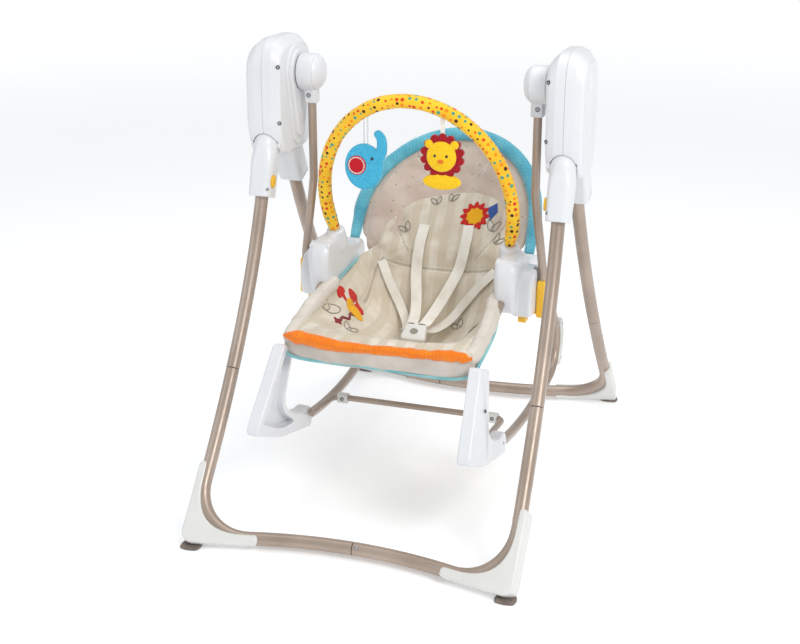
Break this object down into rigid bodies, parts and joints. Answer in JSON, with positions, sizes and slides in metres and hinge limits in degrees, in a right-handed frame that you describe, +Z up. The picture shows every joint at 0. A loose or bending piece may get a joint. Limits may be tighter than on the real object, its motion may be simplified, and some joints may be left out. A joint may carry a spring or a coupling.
{
  "type": "baby swing",
  "caption": "Folding A-frame baby swing with a motor housing at the top of each side, a lift-out reclining rocker seat on two arms, and an arched toy bar with hanging toys.",
  "frame": {"origin": "on the floor, under the middle of the whole object", "axes": "+Z up, the seat faces -Y, +X is the side without the motor"},
  "size_m": [0.64, 0.961, 0.863],
  "materials": {
    "taupe_metal": "satin warm taupe metallic paint",
    "white_plastic": "smooth white moulded plastic",
    "yellow_plastic": "smooth golden yellow plastic",
    "taupe_rubber": "matte taupe rubber",
    "bare_steel": "plain steel",
    "gear_plastic": "natural gear plastic",
    "black_plastic": "black moulded plastic",
    "board_green": "coated circuit board",
    "seat_fabric": "padded light beige woven fabric",
    "toy_yellow": "yellow plush and printed fabric",
    "toy_blue": "blue plush"
  },
  "bodies": {
    "stand": {"rear_upper_tube_left": "taupe_metal", "rear_upper_tube_right": "taupe_metal", "rear_base_tube_left": "taupe_metal", "rear_base_tube_right": "taupe_metal", "rear_foot_cover_left": "white_plastic", "rear_foot_cover_right": "white_plastic", "rear_foot_pad_left": "taupe_rubber", "rear_foot_pad_right": "taupe_rubber", "housing_outer_shell_left": "white_plastic", "housing_outer_shell_right": "white_plastic", "housing_inner_shell_left": "white_plastic", "housing_inner_shell_right": "white_plastic", "motor": "bare_steel", "battery_pack": "black_plastic", "battery_door": "white_plastic", "circuit_board": "board_green", "speaker": "black_plastic"},
    "front_legs": {"front_upper_tube_left": "taupe_metal", "front_upper_tube_right": "taupe_metal", "front_base_tube_left": "taupe_metal", "front_base_tube_right": "taupe_metal", "front_foot_cover_left": "white_plastic", "front_foot_cover_right": "white_plastic", "front_foot_pad_left": "taupe_rubber", "front_foot_pad_right": "taupe_rubber", "front_leg_socket_left": "white_plastic", "front_leg_socket_right": "white_plastic"},
    "fold_button_left": {"fold_button_left": "yellow_plastic"},
    "fold_button_right": {"fold_button_right": "yellow_plastic"},
    "swing": {"hub_left": "white_plastic", "hub_right": "white_plastic", "axle_left": "bare_steel", "axle_right": "bare_steel", "swing_arm_left": "taupe_metal", "swing_arm_right": "taupe_metal", "hanger_left": "yellow_plastic", "hanger_right": "yellow_plastic", "drive_sector": "gear_plastic"},
    "motor_pinion": {"motor_pinion": "gear_plastic"},
    "speed_knob": {"speed_knob": "white_plastic"},
    "sound_switch": {"sound_switch": "yellow_plastic"},
    "seat": {"seat_pod_left": "white_plastic", "seat_pod_right": "white_plastic", "rocker_rail_left": "taupe_metal", "rocker_rail_right": "taupe_metal", "rear_bumper_left": "white_plastic", "rear_bumper_right": "white_plastic", "rocker_foot_left": "white_plastic", "rocker_foot_right": "white_plastic", "seat_frame": "taupe_metal", "seat_pad": "seat_fabric", "harness_buckle": "white_plastic"},
    "seat_back": {"back_frame": "taupe_metal", "back_pad": "seat_fabric"},
    "seat_release_button_left": {"seat_release_button_left": "yellow_plastic"},
    "seat_release_button_right": {"seat_release_button_right": "yellow_plastic"},
    "toy_bar": {"toy_bar": "toy_yellow"},
    "lion_toy": {"lion_toy": "toy_yellow"},
    "elephant_toy": {"elephant_toy": "toy_blue"},
    "kickstand": {"kickstand": "taupe_metal"}
  },
  "joints": [
    {"name": "front_legs_fold", "type": "hinge", "parent": "stand", "child": "front_legs", "pos_m": [0, -0.0939, 0.664], "axis": [1, 0, 0], "range_deg": [0, 42]},
    {"name": "fold_button_right_press", "type": "slide", "parent": "front_legs", "child": "fold_button_right", "axis": [1, 0, 0], "range_m": [0, 0.0025], "stiffness_N_per_m": 400},
    {"name": "fold_button_left_press", "type": "slide", "parent": "front_legs", "child": "fold_button_left", "axis": [-1, 0, 0], "range_m": [0, 0.0025], "stiffness_N_per_m": 400},
    {"name": "swing_pivot", "type": "hinge", "parent": "stand", "child": "swing", "pos_m": [0, -0.0235, 0.795], "axis": [1, 0, 0], "range_deg": [-15, 15]},
    {"name": "motor_pinion_spin", "type": "hinge", "parent": "stand", "child": "motor_pinion", "pos_m": [-0.265, -0.0235, 0.75], "axis": [1, 0, 0], "range_deg": [-75, 75]},
    {"name": "speed_knob_turn", "type": "hinge", "parent": "stand", "child": "speed_knob", "pos_m": [-0.314, -0.0235, 0.795], "axis": [-1, 0, 0], "range_deg": [0, 150]},
    {"name": "sound_switch_slide", "type": "slide", "parent": "stand", "child": "sound_switch", "axis": [0, 1, 0], "range_m": [-0.0035, 0.0035]},
    {"name": "seat_lift_off", "type": "slide", "parent": "swing", "child": "seat", "axis": [0, 0, 1], "range_m": [0, 0.062]},
    {"name": "seat_release_right_press", "type": "slide", "parent": "seat", "child": "seat_release_button_right", "axis": [0, 0, 1], "range_m": [0, 0.004], "stiffness_N_per_m": 300},
    {"name": "seat_release_left_press", "type": "slide", "parent": "seat", "child": "seat_release_button_left", "axis": [0, 0, 1], "range_m": [0, 0.004], "stiffness_N_per_m": 300},
    {"name": "seat_back_recline", "type": "hinge", "parent": "seat", "child": "seat_back", "pos_m": [0, 0.0845, 0.418], "axis": [-1, 0, 0], "range_deg": [0, 18]},
    {"name": "toy_bar_pull_out", "type": "slide", "parent": "seat", "child": "toy_bar", "axis": [0, -0.2857, 0.9583], "range_m": [0, 0.05]},
    {"name": "lion_swing", "type": "hinge", "parent": "toy_bar", "child": "lion_toy", "pos_m": [0.0656, -0.1072, 0.7307], "axis": [1, 0, 0], "range_deg": [-45, 45]},
    {"name": "elephant_swing", "type": "hinge", "parent": "toy_bar", "child": "elephant_toy", "pos_m": [-0.0818, -0.1049, 0.7229], "axis": [1, 0, 0], "range_deg": [-45, 45]},
    {"name": "kickstand_turn", "type": "hinge", "parent": "seat", "child": "kickstand", "pos_m": [0, -0.1675, 0.157], "axis": [-1, 0, 0], "range_deg": [0, 30]}
  ],
  "couplings": [
    {"joint": "motor_pinion_spin", "follows": "swing_pivot", "ratio": -4}
  ]
}
